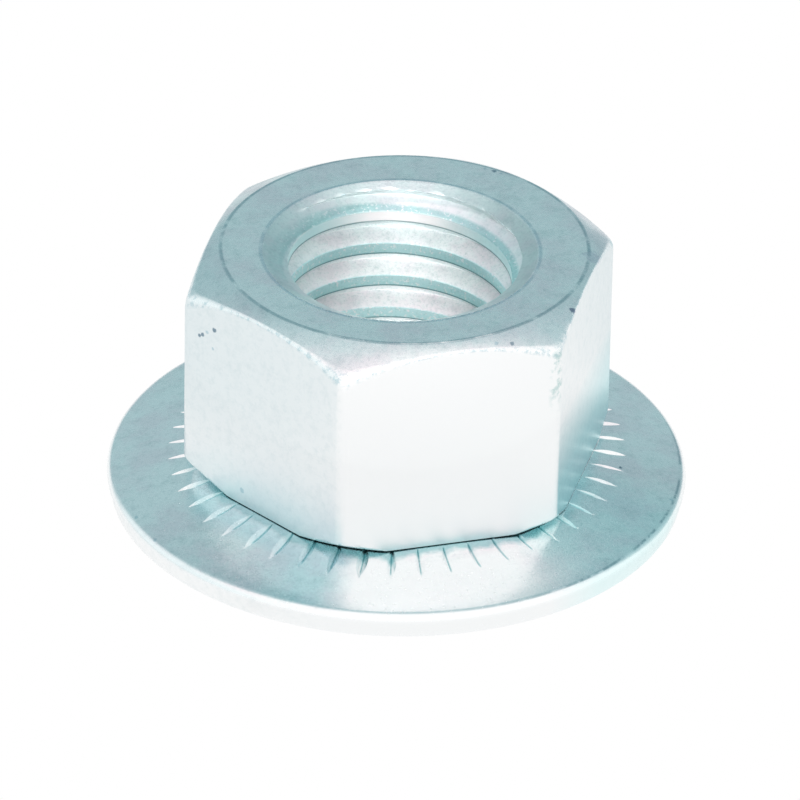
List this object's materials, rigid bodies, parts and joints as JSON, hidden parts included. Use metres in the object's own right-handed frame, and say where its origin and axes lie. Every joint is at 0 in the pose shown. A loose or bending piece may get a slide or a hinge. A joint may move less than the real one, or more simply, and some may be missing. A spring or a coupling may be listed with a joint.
{
  "type": "hex nut with captive conical washer",
  "caption": "Hexagonal machine nut with a captive, freely turning conical washer whose upper face is pressed with radial serrations; zinc plated steel.",
  "frame": {"origin": "centre of the circle on which the washer's rim rests", "axes": "+Z along the thread axis towards the nut's top face; one flat of the hexagon faces -Y"},
  "size_m": [0.0272, 0.0272, 0.0128],
  "materials": {
    "nut_plating": "bright clear zinc plating, satin",
    "washer_plating": "bright clear zinc plating, satin"
  },
  "bodies": {
    "nut": {"hex_nut": "nut_plating"},
    "washer": {"serrated_washer": "washer_plating"}
  },
  "joints": [
    {"name": "washer_turn", "type": "hinge", "parent": "nut", "child": "washer", "pos_m": [0, 0, 0.0015], "axis": [0, 0, 1], "continuous": true}
  ]
}
